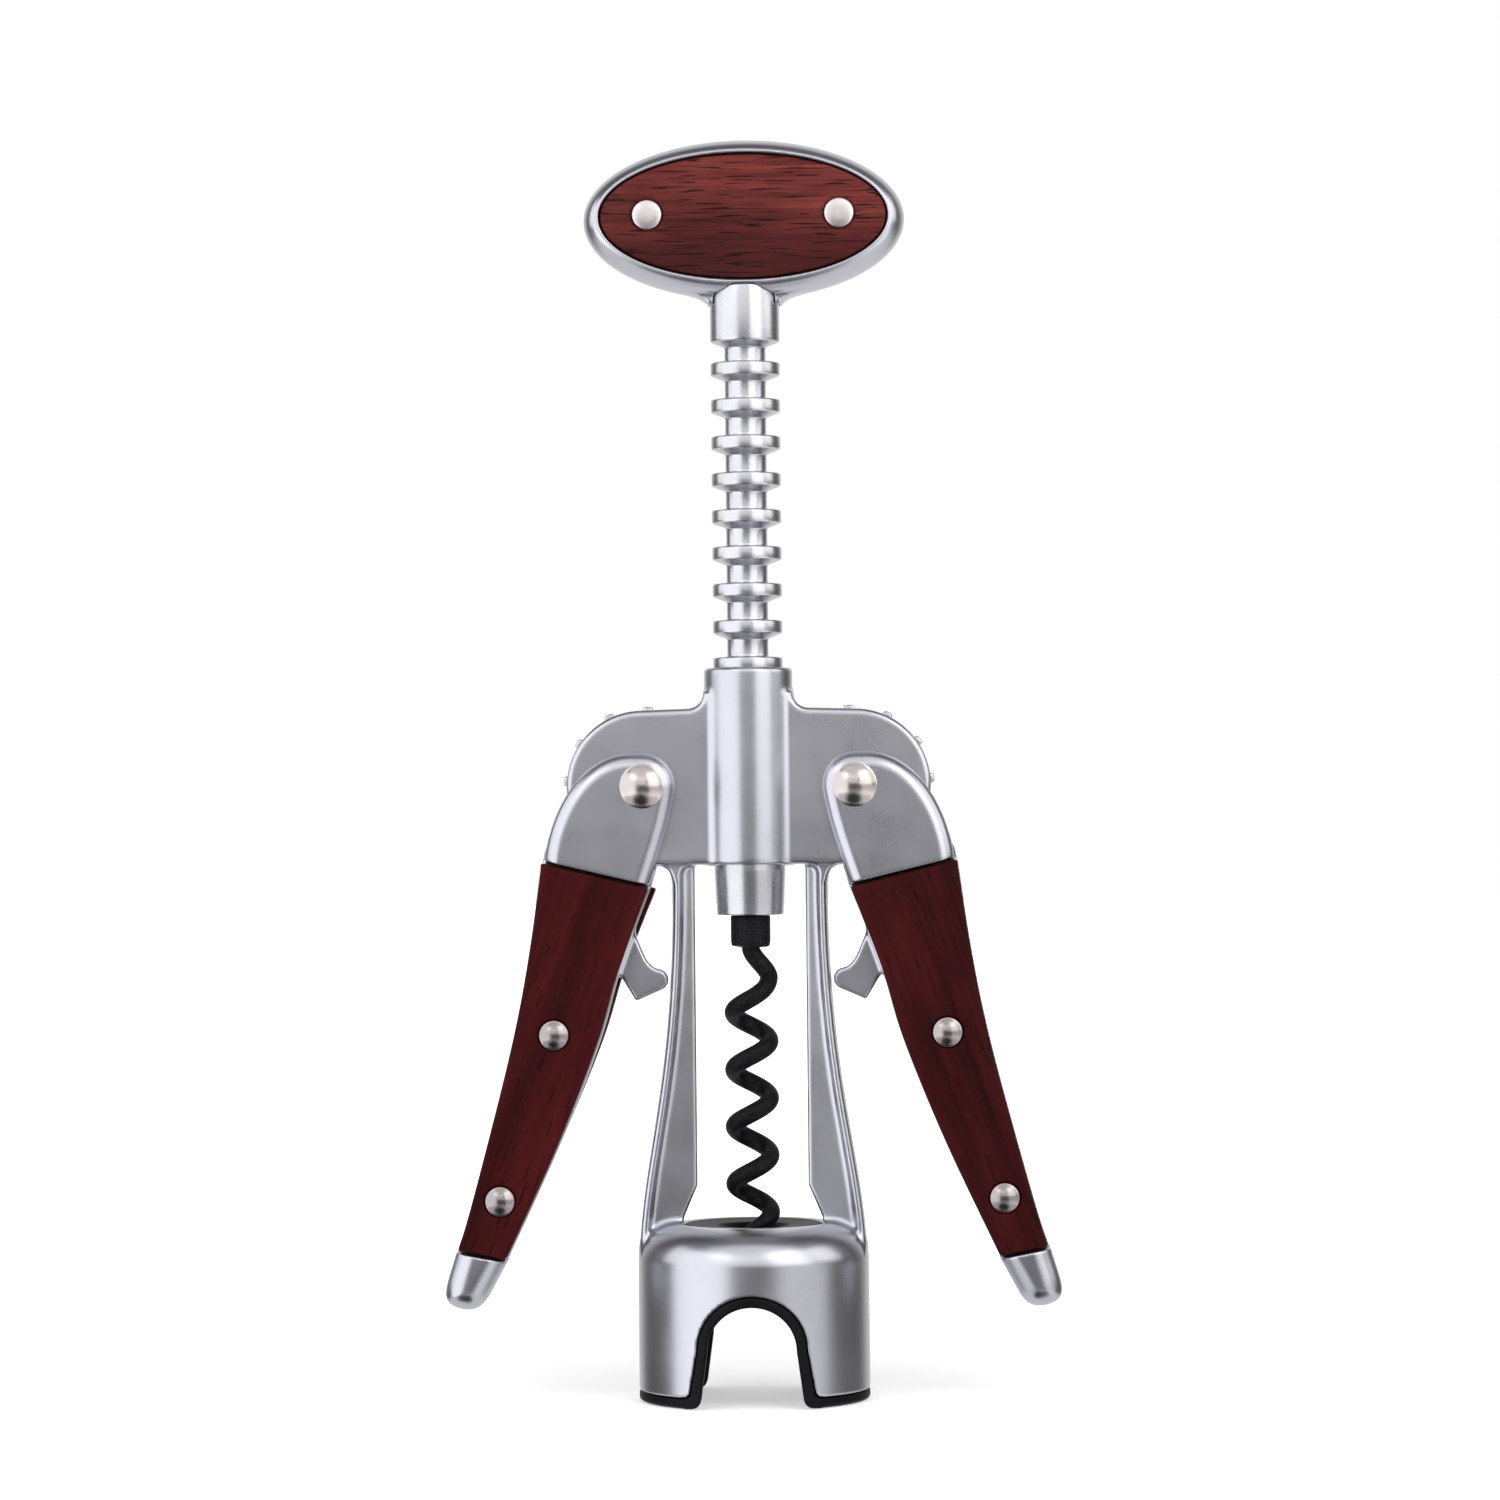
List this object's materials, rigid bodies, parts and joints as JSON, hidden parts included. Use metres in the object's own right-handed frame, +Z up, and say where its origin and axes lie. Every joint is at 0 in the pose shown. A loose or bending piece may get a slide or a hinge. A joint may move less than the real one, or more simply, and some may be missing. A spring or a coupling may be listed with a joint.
{
  "type": "winged corkscrew",
  "caption": "Corkscrew with two geared wing levers, a ringed rack, an oval turning handle and a bell that seats on a bottle neck.",
  "frame": {"origin": "on the axis of the worm, in the plane of the feet under the bell", "axes": "+Z up along the worm and rack, +X to the right-hand lever, +Y to the back"},
  "size_m": [0.0958, 0.036, 0.1962],
  "materials": {
    "satin_metal": "satin, fine brushed zinc casting",
    "turned_metal": "satin, turned with fine rings",
    "nickel": "polished warm nickel rivets",
    "red_wood": "oiled, fine dark pores along the grain",
    "black_plastic": "fine matte moulded",
    "black_coating": "matte non-stick coating on steel wire"
  },
  "bodies": {
    "frame": {"frame_casting": "satin_metal", "bottle_guide_liner": "black_plastic", "pivot_pin_left": "nickel", "pivot_pin_right": "nickel"},
    "lever_left": {"lever_left_casting": "satin_metal", "lever_left_scale_front": "red_wood", "lever_left_scale_back": "red_wood", "lever_left_rivet_upper": "nickel", "lever_left_rivet_lower": "nickel"},
    "lever_right": {"lever_right_casting": "satin_metal", "lever_right_scale_front": "red_wood", "lever_right_scale_back": "red_wood", "lever_right_rivet_upper": "nickel", "lever_right_rivet_lower": "nickel"},
    "carriage": {"guide_collar": "turned_metal"},
    "spindle": {"rack_shaft": "turned_metal", "handle_body": "satin_metal", "handle_scale_front": "red_wood", "handle_scale_back": "red_wood", "handle_rivet_left": "nickel", "handle_rivet_right": "nickel", "handle_cross_pin": "nickel", "worm_hub": "black_plastic", "worm": "black_coating"}
  },
  "joints": [
    {"name": "lever_left_swing", "type": "hinge", "parent": "frame", "child": "lever_left", "pos_m": [-0.0165, 0, 0.0957], "axis": [0, 1, 0], "range_deg": [0, 135]},
    {"name": "lever_right_swing", "type": "hinge", "parent": "frame", "child": "lever_right", "pos_m": [0.0165, 0, 0.0957], "axis": [0, -1, 0], "range_deg": [0, 135]},
    {"name": "rack_slide", "type": "slide", "parent": "frame", "child": "carriage", "axis": [0, 0, -1], "range_m": [0, 0.0259]},
    {"name": "handle_spin", "type": "hinge", "parent": "carriage", "child": "spindle", "pos_m": [0, 0, 0.0826], "axis": [0, 0, -1], "continuous": true}
  ],
  "couplings": [
    {"joint": "lever_right_swing", "follows": "lever_left_swing", "ratio": 1},
    {"joint": "rack_slide", "follows": "lever_left_swing", "m_per_rad": 0.010963}
  ]
}
